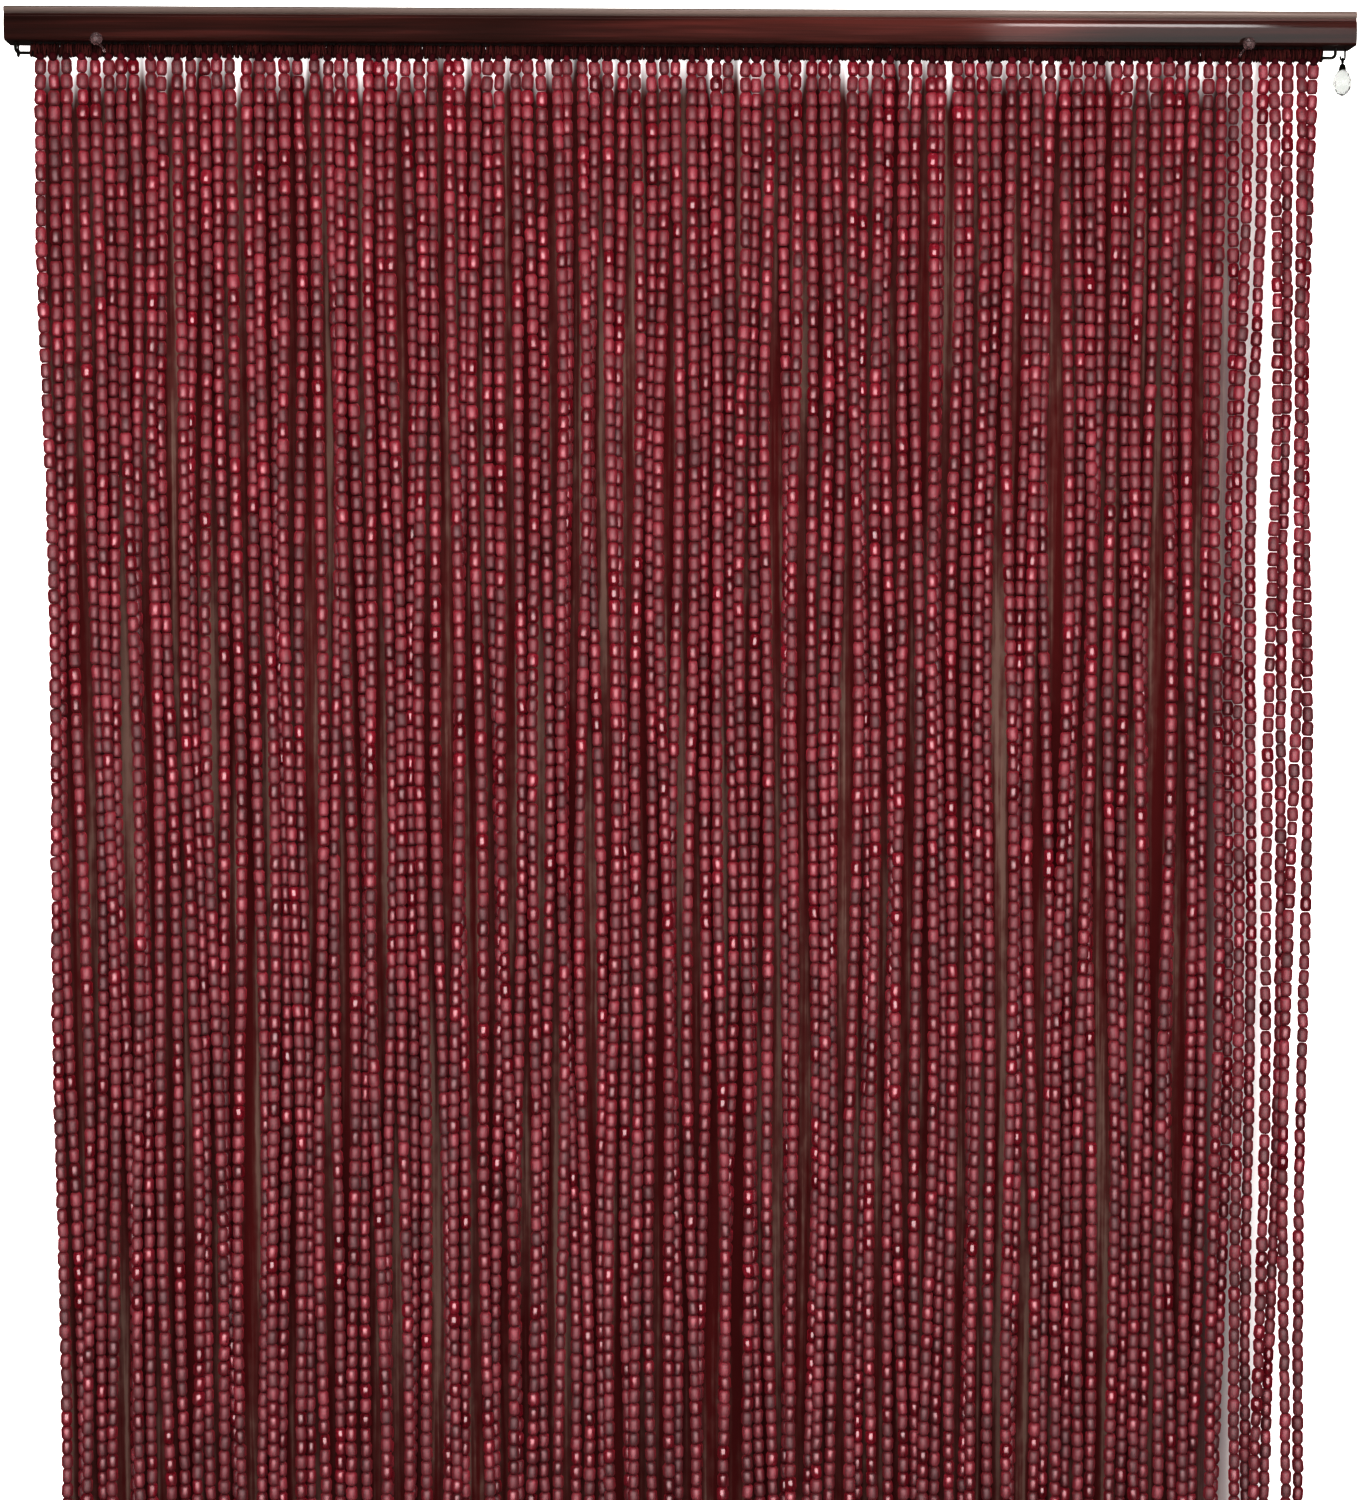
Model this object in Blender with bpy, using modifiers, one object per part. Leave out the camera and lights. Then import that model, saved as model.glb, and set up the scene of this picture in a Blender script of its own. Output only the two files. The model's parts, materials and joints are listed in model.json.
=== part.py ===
"""Bead curtain on a moulded wooden rail, with the steel wire and screw eyes that carry it.

Units are metres and +Z is up. The origin is at the centre of the rail's back face, which lies
against the wall, so +X runs to the right along the rail and +Y points into the wall.
Run with: blender --background --python part.py
"""

import math
import random

import bmesh
import bpy
from mathutils import Matrix, Vector

GAP = 0.0003  # kept between pieces that touch

# The rail and its moulded front
RAIL_LENGTH = 0.900
RAIL_HEIGHT = 0.0225
RAIL_DEPTH = 0.024
BEAD_RADIUS = 0.0024  # half-round bead along the top edge
GROOVE_DEPTH = 0.0014
GROOVE_HEIGHT = 0.0022
FACE_BULGE = 0.0007  # how far the plain face swells forward
EDGE_RADIUS = 0.0020  # rounded lower front edge
RAIL_BOTTOM = -RAIL_HEIGHT / 2
RAIL_FRONT = -RAIL_DEPTH

# The wire that the strands hang from
WIRE_RADIUS = 0.0010
WIRE_DROP = 0.0067  # from the rail's underside to the wire's centre
WIRE_Y = -RAIL_DEPTH / 2
WIRE_Z = RAIL_BOTTOM - WIRE_DROP
WIRE_LEFT = -0.4455
WIRE_RIGHT = 0.4395

# The screw eyes that hold the wire
EYE_RING_RADIUS = 0.0023  # to the middle of the ring's own wire
EYE_STOCK_RADIUS = 0.0007
EYE_EVERY = 4  # groups between one eye and the next
EYE_END_X = -0.4427  # one more at the wire's left end

# The strands, in groups that share a heading
GROUPS = 24
STRANDS_PER_GROUP = 4
GROUP_PITCH = 0.0359
STRAND_PITCH = 0.0087
CURTAIN_SHIFT = -0.0018  # the row hangs this far off the rail's centre
STRAND_WIDTH = 0.0046
HEADING_MARGIN = 0.0016
HEADING_DEPTH = 0.0050
HEADING_HEIGHT = 0.0022
HEADING_TOP = WIRE_Z - WIRE_RADIUS - GAP
HEADING_BOTTOM = HEADING_TOP - HEADING_HEIGHT
STRAND_END = -1.985
END_SCATTER = 0.004  # strands end this much higher or lower
SECTIONS = 10
SETTLE = 0.08  # a strand reaches its full swerve this far down
SPREAD = 0.0014  # how unevenly strands sit on the wire
SWAY = 0.0048  # how far a strand wanders on its way down
NEAR_SWAY = 0.35  # the share of that where it has reached its swerve
LOOSEN = 0.15  # it wanders fully this far below that
LONG_WAVE = 1.55
SHORT_WAVE = 0.62
STAGGER = 0.0037  # every other strand hangs in front of the wire, the rest behind it
STAGGER_SCATTER = 0.0002

# The clear clips on the rail's lower front edge
CLIP_KNOB_RADIUS = 0.0043
CLIP_ARM_RADIUS = 0.0009
CLIP_PLACES = {"clip_left": -0.3887, "clip_right": 0.3761}

# The drop on its hook at the rail's right end
HOOK_X = 0.4451
HOOK_RADIUS = 0.0006
HOOK_BEND = 0.0016
PIVOT_Z = -0.0193
RING_HOLE = 0.0014
RING_STOCK = 0.0005
CAP_HEIGHT = 0.0042
CAP_RADIUS = 0.0024
DROP_LENGTH = 0.0168
DROP_RADIUS = 0.00635
DROP_SIDES = 10


def clear_scene():
    """Remove every object that the file opened with."""
    for old in list(bpy.data.objects):
        bpy.data.objects.remove(old)


def make_material(name, colour, roughness, metallic=0.0, alpha=1.0):
    """A Principled material in one colour."""
    material = bpy.data.materials.new(name)
    material.use_nodes = True
    shader = material.node_tree.nodes["Principled BSDF"]
    shader.inputs["Base Color"].default_value = (*colour, 1.0)
    shader.inputs["Roughness"].default_value = roughness
    shader.inputs["Metallic"].default_value = metallic
    shader.inputs["Alpha"].default_value = alpha
    return material


def add_part(name, data, material, location=(0.0, 0.0, 0.0), parent=None):
    """Put mesh or curve data into the curtain's collection as one named part."""
    part = bpy.data.objects.new(name, data)
    bpy.data.collections["bead_curtain"].objects.link(part)
    part.location = location
    part.parent = parent
    if not data.materials:
        data.materials.append(material)
    return part


def tube_curve(name, points, radius):
    """A round wire through the given points, as a curve with filled caps."""
    curve = bpy.data.curves.new(name, "CURVE")
    curve.dimensions = "3D"
    curve.bevel_depth = radius
    curve.bevel_resolution = 2
    curve.use_fill_caps = True
    spline = curve.splines.new("POLY")
    spline.points.add(len(points) - 1)
    for spline_point, point in zip(spline.points, points):
        spline_point.co = (*point, 1.0)
    return curve


def curve_to_mesh(name, curve):
    """The closed mesh of a curve, its caps welded on."""
    holder = bpy.data.objects.new(name, curve)
    bpy.context.scene.collection.objects.link(holder)
    graph = bpy.context.evaluated_depsgraph_get()
    mesh = bpy.data.meshes.new_from_object(holder.evaluated_get(graph))
    bpy.data.objects.remove(holder)
    bm = bmesh.new()
    bm.from_mesh(mesh)
    bmesh.ops.remove_doubles(bm, verts=bm.verts, dist=0.00001)
    bm.to_mesh(mesh)
    bm.free()
    return mesh


def join_to(part, name, mesh):
    """Fuse a second closed mesh into a part with a Boolean union."""
    tool = bpy.data.objects.new(name, mesh)
    bpy.data.collections["cutters"].objects.link(tool)
    tool.parent = part
    tool.hide_render = True
    tool.display_type = "WIRE"
    union = part.modifiers.new("join " + name, "BOOLEAN")
    union.operation = "UNION"
    union.object = tool


def arc(centre, radius, start, end, steps):
    """Points along an arc, its angles in degrees."""
    turns = [math.radians(start + (end - start) * step / steps) for step in range(steps + 1)]
    return [(centre[0] + radius * math.cos(t), centre[1] + radius * math.sin(t)) for t in turns]


def rail_outline():
    """The rail's section as depth and height, from the back of its top edge round its front."""
    top = RAIL_HEIGHT / 2
    bead_centre = (RAIL_FRONT + BEAD_RADIUS, top - BEAD_RADIUS)
    bead_foot = top - 2 * BEAD_RADIUS
    face_top = bead_foot - GROOVE_HEIGHT
    face_foot = RAIL_BOTTOM + EDGE_RADIUS
    face = RAIL_FRONT + FACE_BULGE
    outline = [(0.0, RAIL_BOTTOM), (0.0, top)]
    outline += arc(bead_centre, BEAD_RADIUS, 90, 250, 6)
    outline += [(RAIL_FRONT + GROOVE_DEPTH, bead_foot - GROOVE_HEIGHT * 0.3)]
    outline += [(RAIL_FRONT + GROOVE_DEPTH, face_top + GROOVE_HEIGHT * 0.2)]
    for share in (0.0, 0.25, 0.5, 0.75, 1.0):
        swell = FACE_BULGE * (1 - (2 * share - 1) ** 2)
        outline.append((face - swell, face_top + (face_foot - face_top) * share))
    outline += arc((face + EDGE_RADIUS, face_foot), EDGE_RADIUS, 200, 270, 4)
    return outline


def build_rail(material):
    """The moulded rail: its outline extruded from one end to the other."""
    curve = bpy.data.curves.new("head_rail", "CURVE")
    curve.dimensions = "2D"
    curve.fill_mode = "BOTH"
    curve.extrude = RAIL_LENGTH / 2
    outline = rail_outline()
    spline = curve.splines.new("POLY")
    spline.points.add(len(outline) - 1)
    for spline_point, (depth, height) in zip(spline.points, outline):
        spline_point.co = (depth, height, 0.0, 1.0)
    spline.use_cyclic_u = True
    rail = add_part("head_rail", curve, material)
    rail.rotation_euler = Matrix(((0, 0, 1), (1, 0, 0), (0, 1, 0))).to_euler()


def build_wire(material):
    """The straight steel wire under the rail."""
    ends = [(WIRE_LEFT, WIRE_Y, WIRE_Z), (WIRE_RIGHT, WIRE_Y, WIRE_Z)]
    add_part("wire_rod", tube_curve("wire_rod", ends, WIRE_RADIUS), material)


def ring_mesh(name, ring_radius, stock_radius):
    """A ring round the X axis, made from a circle of wire."""
    turns = [2 * math.pi * step / 14 for step in range(14)]
    points = [(0.0, ring_radius * math.sin(turn), ring_radius * math.cos(turn)) for turn in turns]
    curve = tube_curve(name, points, stock_radius)
    curve.bevel_resolution = 1
    curve.splines[0].use_cyclic_u = True
    return curve_to_mesh(name, curve)


def rod_mesh(name, radius, bottom, top, sides=8):
    """An upright round rod between two heights."""
    mesh = bpy.data.meshes.new(name)
    bm = bmesh.new()
    middle = Matrix.Translation((0.0, 0.0, (bottom + top) / 2))
    bmesh.ops.create_cone(
        bm,
        cap_ends=True,
        segments=sides,
        radius1=radius,
        radius2=radius,
        depth=top - bottom,
        matrix=middle,
    )
    bm.to_mesh(mesh)
    bm.free()
    return mesh


def gap_x(index):
    """Where the space before the given group of strands lies along the rail."""
    return (index - GROUPS / 2) * GROUP_PITCH + CURTAIN_SHIFT


def build_eyes(material):
    """Screw eyes between every few groups, at both ends of the row and at the wire's left end."""
    places = [EYE_END_X] + [gap_x(index) for index in range(0, GROUPS + 1, EYE_EVERY)]
    for number, place in enumerate(places, start=1):
        name = f"screw_eye_{number}"
        ring = ring_mesh(name, EYE_RING_RADIUS, EYE_STOCK_RADIUS)
        eye = add_part(name, ring, material, (place, WIRE_Y, WIRE_Z))
        shank = rod_mesh(name + "_shank", EYE_STOCK_RADIUS * 1.2, EYE_RING_RADIUS, WIRE_DROP - GAP)
        join_to(eye, name + "_shank", shank)


def strand_habit(number):
    """What is particular to one strand: its place on the wire, its waves and its length."""
    chance = random.Random(7100 + number)
    side = 1 if number % 2 else -1
    return {
        "spread": SPREAD * chance.uniform(-1, 1),
        "long_phase": chance.random(),
        "short_phase": chance.random(),
        "depth": side * (STAGGER + STAGGER_SCATTER * chance.uniform(-1, 1)),
        "end": STRAND_END + END_SCATTER * chance.uniform(-1, 1),
    }


def strand_centre(number, habit, z):
    """The middle of a strand at a height."""
    group, place = divmod(number, STRANDS_PER_GROUP)
    x = gap_x(group + 0.5) + (place - (STRANDS_PER_GROUP - 1) / 2) * STRAND_PITCH
    fallen = HEADING_BOTTOM - z
    settled = min(1.0, fallen / SETTLE)
    loose = min(1.0, max(0.0, fallen - SETTLE) / LOOSEN)
    sway = SWAY * (NEAR_SWAY * settled + (1 - NEAR_SWAY) * loose)
    long_wave = math.sin(2 * math.pi * (fallen / LONG_WAVE + habit["long_phase"]))
    short_wave = math.sin(2 * math.pi * (fallen / SHORT_WAVE + habit["short_phase"]))
    x += habit["spread"] + sway * (0.6 * long_wave + 0.4 * short_wave)
    y = WIRE_Y + settled * habit["depth"]
    return Vector((x, y, z))


def draw_down_strand(bm, number):
    """Extrude one strand, section by section, from its face on the heading's underside."""
    habit = strand_habit(number)
    start = strand_centre(number, habit, HEADING_BOTTOM)
    under = [face for face in bm.faces if face.normal.z < -0.9]
    face = min(under, key=lambda f: (f.calc_center_median() - start).length)
    half = STRAND_WIDTH / 2
    length = HEADING_BOTTOM - habit["end"]
    heights = [HEADING_BOTTOM - SETTLE]
    heights += [HEADING_BOTTOM - length * step / SECTIONS for step in range(1, SECTIONS + 1)]
    for z in heights:
        middle = face.calc_center_median()
        extruded = bmesh.ops.extrude_face_region(bm, geom=[face])["geom"]
        bmesh.ops.delete(bm, geom=[face], context="FACES_ONLY")
        face = next(item for item in extruded if isinstance(item, bmesh.types.BMFace))
        centre = strand_centre(number, habit, z)
        for vert in face.verts:
            side_x = math.copysign(half, vert.co.x - middle.x)
            side_y = math.copysign(half, vert.co.y - middle.y)
            vert.co = centre + Vector((side_x, side_y, 0.0))


def build_strand_group(group, material):
    """Four strands that hang from one heading under the wire."""
    row = (STRANDS_PER_GROUP - 1) * STRAND_PITCH
    half_row = (row + STRAND_WIDTH) / 2
    size = Vector((2 * (half_row + HEADING_MARGIN), HEADING_DEPTH, HEADING_HEIGHT))
    middle = Vector((gap_x(group + 0.5), WIRE_Y, (HEADING_TOP + HEADING_BOTTOM) / 2))
    bm = bmesh.new()
    bmesh.ops.create_cube(bm, size=1.0, matrix=Matrix.LocRotScale(middle, None, size))
    for place in range(STRANDS_PER_GROUP):
        number = group * STRANDS_PER_GROUP + place
        strand_x = strand_centre(number, strand_habit(number), HEADING_BOTTOM).x
        for cut_x in (strand_x - STRAND_WIDTH / 2, strand_x + STRAND_WIDTH / 2):
            everything = bm.verts[:] + bm.edges[:] + bm.faces[:]
            bmesh.ops.bisect_plane(bm, geom=everything, plane_co=(cut_x, 0, 0), plane_no=(1, 0, 0))
    for place in range(STRANDS_PER_GROUP):
        bm.normal_update()
        draw_down_strand(bm, group * STRANDS_PER_GROUP + place)
    bmesh.ops.recalc_face_normals(bm, faces=bm.faces)
    name = f"strand_group_{group + 1:02d}"
    mesh = bpy.data.meshes.new(name)
    bm.to_mesh(mesh)
    bm.free()
    add_part(name, mesh, material)


def build_clip(name, place, material):
    """A clear clip: a round knob before the rail's lower edge, its arm bent under the rail."""
    knob_y = RAIL_FRONT - CLIP_KNOB_RADIUS - GAP
    mesh = bpy.data.meshes.new(name)
    bm = bmesh.new()
    bmesh.ops.create_uvsphere(bm, u_segments=12, v_segments=8, radius=CLIP_KNOB_RADIUS)
    bm.to_mesh(mesh)
    bm.free()
    clip = add_part(name, mesh, material, (place, knob_y, RAIL_BOTTOM))
    below = -CLIP_ARM_RADIUS - 2 * GAP
    inward = math.copysign(1.0, -place)
    arm_points = [
        (0.0, 0.0, below * 1.6),
        (0.0, 0.0065, below * 1.3),
        (inward * 0.0008, 0.0105, below * 1.4),
        (inward * 0.0022, 0.0125, below * 2.6),
        (inward * 0.0036, 0.0128, below * 4.6),
    ]
    arm = curve_to_mesh(name + "_arm", tube_curve(name + "_arm", arm_points, CLIP_ARM_RADIUS))
    join_to(clip, name + "_arm", arm)


def build_drop_hook(material):
    """The hook at the rail's right end: a shank and a bend that opens to the left."""
    bend = arc((HOOK_X - HOOK_BEND, PIVOT_Z + HOOK_BEND), HOOK_BEND, 0, -180, 8)
    points = [(HOOK_X, WIRE_Y, RAIL_BOTTOM - GAP)]
    points += [(x, WIRE_Y, z) for x, z in bend]
    points += [(HOOK_X - 2 * HOOK_BEND, WIRE_Y, PIVOT_Z + HOOK_BEND + 0.0010)]
    add_part("drop_hook", tube_curve("drop_hook", points, HOOK_RADIUS), material)


def turned_part(name, profile, sides, material, location, parent):
    """A turned shape from its outer profile, top to bottom, with a Screw modifier."""
    mesh = bpy.data.meshes.new(name)
    bm = bmesh.new()
    verts = [bm.verts.new((radius, 0.0, height)) for radius, height in profile]
    for upper, lower in zip(verts, verts[1:]):
        bm.edges.new((upper, lower))
    bm.to_mesh(mesh)
    bm.free()
    part = add_part(name, mesh, material, location, parent)
    screw = part.modifiers.new("turn", "SCREW")
    screw.steps = sides
    screw.render_steps = sides
    screw.use_merge_vertices = True
    screw.merge_threshold = 0.00001
    screw.use_smooth_shade = False
    return part


def build_drop(cap_material, drop_material):
    """The clear drop and its cap, which swing on the hook's bend."""
    pivot = bpy.data.objects.new("drop_pivot", None)
    bpy.data.collections["bead_curtain"].objects.link(pivot)
    pivot.location = (HOOK_X - HOOK_BEND, WIRE_Y, PIVOT_Z)
    ring_radius = RING_HOLE + RING_STOCK
    ring_centre = HOOK_RADIUS + GAP - RING_HOLE
    cap_top = ring_centre - ring_radius
    cap_profile = [
        (0.0, cap_top),
        (CAP_RADIUS * 0.45, cap_top),
        (CAP_RADIUS * 0.85, cap_top - CAP_HEIGHT * 0.3),
        (CAP_RADIUS, cap_top - CAP_HEIGHT),
        (0.0, cap_top - CAP_HEIGHT),
    ]
    cap = turned_part("drop_cap", cap_profile, 12, cap_material, (0, 0, 0), pivot)
    ring = ring_mesh("drop_cap_ring", ring_radius, RING_STOCK)
    ring.transform(Matrix.Translation((0.0, 0.0, ring_centre)))
    join_to(cap, "drop_cap_ring", ring)
    top = cap_top - CAP_HEIGHT - GAP
    drop_profile = [
        (0.0, top),
        (DROP_RADIUS * 0.46, top),
        (DROP_RADIUS * 0.86, top - DROP_LENGTH * 0.24),
        (DROP_RADIUS, top - DROP_LENGTH * 0.52),
        (DROP_RADIUS * 0.80, top - DROP_LENGTH * 0.82),
        (DROP_RADIUS * 0.32, top - DROP_LENGTH),
        (0.0, top - DROP_LENGTH),
    ]
    turned_part("clear_drop", drop_profile, DROP_SIDES, drop_material, (0, 0, 0), pivot)


def main():
    """Model the whole curtain."""
    clear_scene()
    for collection_name in ("bead_curtain", "cutters"):
        collection = bpy.data.collections.new(collection_name)
        bpy.context.scene.collection.children.link(collection)
    rail_wood = make_material("rail_wood", (0.045, 0.010, 0.008), 0.25)
    bead_wood = make_material("bead_wood", (0.150, 0.020, 0.030), 0.35)
    steel = make_material("steel", (0.300, 0.300, 0.290), 0.35, metallic=1.0)
    dark_metal = make_material("dark_metal", (0.050, 0.045, 0.040), 0.40, metallic=1.0)
    clear = make_material("clear", (0.850, 0.820, 0.820), 0.08, alpha=0.35)
    build_rail(rail_wood)
    build_wire(steel)
    build_eyes(steel)
    for group in range(GROUPS):
        build_strand_group(group, bead_wood)
    for name, place in CLIP_PLACES.items():
        build_clip(name, place, clear)
    build_drop_hook(dark_metal)
    build_drop(dark_metal, clear)


main()
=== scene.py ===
"""A bead curtain on a moulded wooden rail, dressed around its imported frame.

Each operator builds one piece or one group of like pieces at the real size, in metres, with
+X along the rail, +Y into the wall and +Z up. The main function runs them in order.
"""

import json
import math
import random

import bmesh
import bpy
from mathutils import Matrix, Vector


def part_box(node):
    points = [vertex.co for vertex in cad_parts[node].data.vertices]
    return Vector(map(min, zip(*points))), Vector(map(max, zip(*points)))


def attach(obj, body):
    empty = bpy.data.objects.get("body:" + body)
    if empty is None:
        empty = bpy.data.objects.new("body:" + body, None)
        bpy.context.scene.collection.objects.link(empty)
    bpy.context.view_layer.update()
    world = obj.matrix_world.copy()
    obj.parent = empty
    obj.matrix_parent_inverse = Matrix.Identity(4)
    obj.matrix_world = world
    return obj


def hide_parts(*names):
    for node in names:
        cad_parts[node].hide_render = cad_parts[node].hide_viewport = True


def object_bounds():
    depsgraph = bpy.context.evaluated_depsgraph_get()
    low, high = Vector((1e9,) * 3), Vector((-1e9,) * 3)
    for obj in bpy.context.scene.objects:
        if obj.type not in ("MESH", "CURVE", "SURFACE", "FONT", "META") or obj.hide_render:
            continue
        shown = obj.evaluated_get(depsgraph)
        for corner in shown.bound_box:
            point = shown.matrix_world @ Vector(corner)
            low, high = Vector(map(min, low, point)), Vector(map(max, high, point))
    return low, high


bl_info = {
    "name": "Bead Curtain",
    "version": (1, 0, 0),
    "blender": (4, 5, 0),
    "location": "View3D > Sidebar > Bead Curtain",
    "description": "Strings a wooden bead curtain under its rail and lights it in a plain studio",
    "category": "Add Mesh",
}

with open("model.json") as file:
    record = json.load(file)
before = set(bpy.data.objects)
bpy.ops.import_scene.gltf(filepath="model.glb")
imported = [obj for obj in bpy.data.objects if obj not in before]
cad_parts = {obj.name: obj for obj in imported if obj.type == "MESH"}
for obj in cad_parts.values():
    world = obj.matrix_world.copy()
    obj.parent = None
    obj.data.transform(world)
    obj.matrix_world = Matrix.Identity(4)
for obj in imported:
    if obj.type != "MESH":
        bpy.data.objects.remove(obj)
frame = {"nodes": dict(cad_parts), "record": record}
CAD_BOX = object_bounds()

# Places that the frame gives
RAIL_LOW, RAIL_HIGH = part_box("head_rail")
WIRE_LOW, WIRE_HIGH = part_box("wire_rod")
WIRE_CENTRE = (WIRE_LOW + WIRE_HIGH) / 2
GROUP_NODES = sorted(name for name in frame["nodes"] if name.startswith("strand_group_"))
EYE_NODES = sorted(name for name in frame["nodes"] if name.startswith("screw_eye_"))
PIVOT = Vector(frame["record"]["behaviour"]["joints"][0]["pos_m"])

# How the strands hang, the same as in the part's source
GAP = 0.0003
STRANDS_PER_GROUP = 4
GROUP_PITCH = 0.0359
STRAND_PITCH = 0.0087
CURTAIN_SHIFT = -0.0018
HEADING_HEIGHT = 0.0022
HEADING_BOTTOM = WIRE_LOW.z - GAP - HEADING_HEIGHT
STRAND_END = -1.985
END_SCATTER = 0.004
SETTLE = 0.08
LOOSEN = 0.15
SPREAD = 0.0014
SWAY = 0.0048
NEAR_SWAY = 0.35
LONG_WAVE = 1.55
SHORT_WAVE = 0.62
STAGGER = 0.0037
STAGGER_SCATTER = 0.0002
HABIT_SEED = 7100

# Stock sizes and bends of the small fittings, the same as in the part's source
WIRE_BEND = 0.0030
EYE_RING_RADIUS = 0.0023
EYE_STOCK = 0.0007
CLIP_KNOB_RADIUS = 0.0043
CLIP_FORWARD = 0.0046
CLIP_ARM_RADIUS = 0.0009
HOOK_STOCK = 0.0006
CAP_RING_RADIUS = 0.0019
CAP_RING_STOCK = 0.0005
DROP_SIDES = 10

# How finely a strand is drawn, and how far apart the groups' seeds are
LINE_STEPS = 90
GROUP_SEED_STEP = 40


# Settings


def length_property(label, description, default, precision=4):
    """A length in metres."""
    return bpy.props.FloatProperty(
        name=label, description=description, default=default, unit="LENGTH", precision=precision)


def share_property(label, description, default):
    """A share, from none to all."""
    return bpy.props.FloatProperty(
        name=label, description=description, default=default, subtype="FACTOR", min=0.0, max=1.0)


def power_property(label, description, default):
    """The power of a light in watts."""
    return bpy.props.FloatProperty(
        name=label, description=description, default=default, unit="POWER")


def colour_property(label, description, default):
    """A colour without alpha."""
    return bpy.props.FloatVectorProperty(
        name=label, description=description, default=default, subtype="COLOR", size=3)


class RailSettings(bpy.types.PropertyGroup):
    """The moulded rail."""

    bead_radius: length_property("Edge Bead", "Radius of the half-round bead along the top", 0.0024)
    groove_depth: length_property("Groove Depth", "How deep the groove under the bead is cut", 0.0014)
    groove_height: length_property("Groove Height", "Height of the groove under the bead", 0.0022)
    face_bulge: length_property("Face Swell", "How far the plain face swells forward", 0.0007)
    edge_radius: length_property("Lower Edge", "Radius of the lower front edge", 0.0020)
    end_bevel: length_property("End Softening", "Width of the softened edges at the sawn ends", 0.0006)
    stain_dark: colour_property(
        "Dark Stain", "Colour of the stain in the dark grain", (0.0110, 0.0042, 0.0030))
    stain_red: colour_property(
        "Red Stain", "Colour of the stain in the red streaks", (0.076, 0.0178, 0.0138))
    # Painted sheen: the top bead gets this paler colour in place of the light that it catches.
    rubbed: colour_property("Painted Top Sheen", "Colour of the paler bead along the top", (0.142, 0.105, 0.092))


class StrandSettings(bpy.types.PropertyGroup):
    """The strings of beads."""

    spacing: length_property(
        "Bead Spacing", "From one bead's middle to the next along the string", 0.00995, precision=5)
    length: length_property("Bead Length", "Length of one bead", 0.00985, precision=5)
    diameter: length_property("Bead Diameter", "Width of one bead at its middle", 0.0079)
    shoulder: share_property("Shoulder", "Share of a bead's half length that is full width", 0.60)
    rim: share_property("Rim", "Width of a bead's ends as a share of its middle", 0.70)
    tilt: bpy.props.FloatProperty(
        name="Tilt", description="How far beads lean on their string",
        default=math.radians(5.0), subtype="ANGLE")
    wander: length_property("Wander", "How far beads sit off the string's line", 0.00022, precision=5)
    shade: colour_property("Dark Lacquer", "Colour of the darkest beads", (0.058, 0.0022, 0.0052))
    wine: colour_property("Wine Lacquer", "Colour of most of the beads", (0.110, 0.0038, 0.0110))
    rose: colour_property("Rose Lacquer", "Colour of the palest beads", (0.175, 0.0120, 0.0250))
    glow: colour_property(
        "Lacquer Glow", "Colour that the lacquer scatters at a bead's edges", (0.24, 0.006, 0.017))


class ThreadSettings(bpy.types.PropertyGroup):
    """The thread that ties the strands to the wire."""

    thickness: length_property("Thread Thickness", "Thickness of the tying thread", 0.0015)
    turn_spacing: length_property(
        "Turn Spacing", "From one turn of thread on the wire to the next", 0.00120, precision=5)
    # Painted shade: the thread's colour is burgundy darkened to near black for the shade under the rail.
    colour: colour_property("Thread Colour", "Colour of the tying thread", (0.030, 0.0060, 0.0055))
    # Painted shade: the knots' colour is their red darkened for the shade under the rail.
    knot_painted_shade_colour: colour_property(
        "Knot Colour", "Colour of the knots at the strands' heads", (0.042, 0.0032, 0.0062))


class FittingSettings(bpy.types.PropertyGroup):
    """The metal and clear fittings."""

    steel: colour_property("Steel", "Colour of the wire and the screw eyes", (0.55, 0.55, 0.50))
    bronze: colour_property("Dark Metal", "Colour of the drop's hook and cap", (0.050, 0.044, 0.040))
    clear: colour_property("Drop Tint", "Tint of the clear drop", (0.46, 0.47, 0.46))
    clip: colour_property("Clip Tint", "Tint of the clear clips", (0.30, 0.20, 0.20))


class StageSettings(bpy.types.PropertyGroup):
    """The floor, the backdrop, the lights and the camera."""

    floor_gap: length_property("Floor Gap", "From the strands' ends to the floor", 0.020)
    front_power: power_property("Front Light", "Power of the soft light in front of the curtain", 38.0)
    gloss_power: power_property("Gloss Light", "Power of the wide panel that the beads mirror", 330.0)
    high_power: power_property("High Light", "Power of the large light above the camera", 14.0)
    back_power: power_property("Back Light", "Power of the soft light behind the curtain", 60.0)
    sheen_power: power_property("Sheen Light", "Power of the panel that the rail's face mirrors", 4.0)
    line_power: power_property(
        "Line Light", "Power of the panel that draws a line along the rail's face", 3.2)
    contrast_gamma: bpy.props.FloatProperty(
        name="Contrast Gamma", description="Display gamma, below one for deeper darks",
        default=0.75, min=0.4, max=1.5)
    exposure: bpy.props.FloatProperty(
        name="Exposure", description="Brightening of the picture, in stops",
        default=0.48)
    room_light: bpy.props.FloatProperty(
        name="Room Light", description="Strength of the even light from all round",
        default=0.38)
    room_gloss: share_property(
        "Room Reflections", "Share of the even light that glossy surfaces mirror", 0.05)


class CurtainSettings(bpy.types.PropertyGroup):
    """Everything that a user would change."""

    rail: bpy.props.PointerProperty(type=RailSettings)
    strands: bpy.props.PointerProperty(type=StrandSettings)
    threads: bpy.props.PointerProperty(type=ThreadSettings)
    fittings: bpy.props.PointerProperty(type=FittingSettings)
    stage: bpy.props.PointerProperty(type=StageSettings)


# Pieces and meshes


def add_object(name, data):
    """An object at the origin, in the scene."""
    made = bpy.data.objects.new(name, data)
    bpy.context.scene.collection.objects.link(made)
    return made


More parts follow.
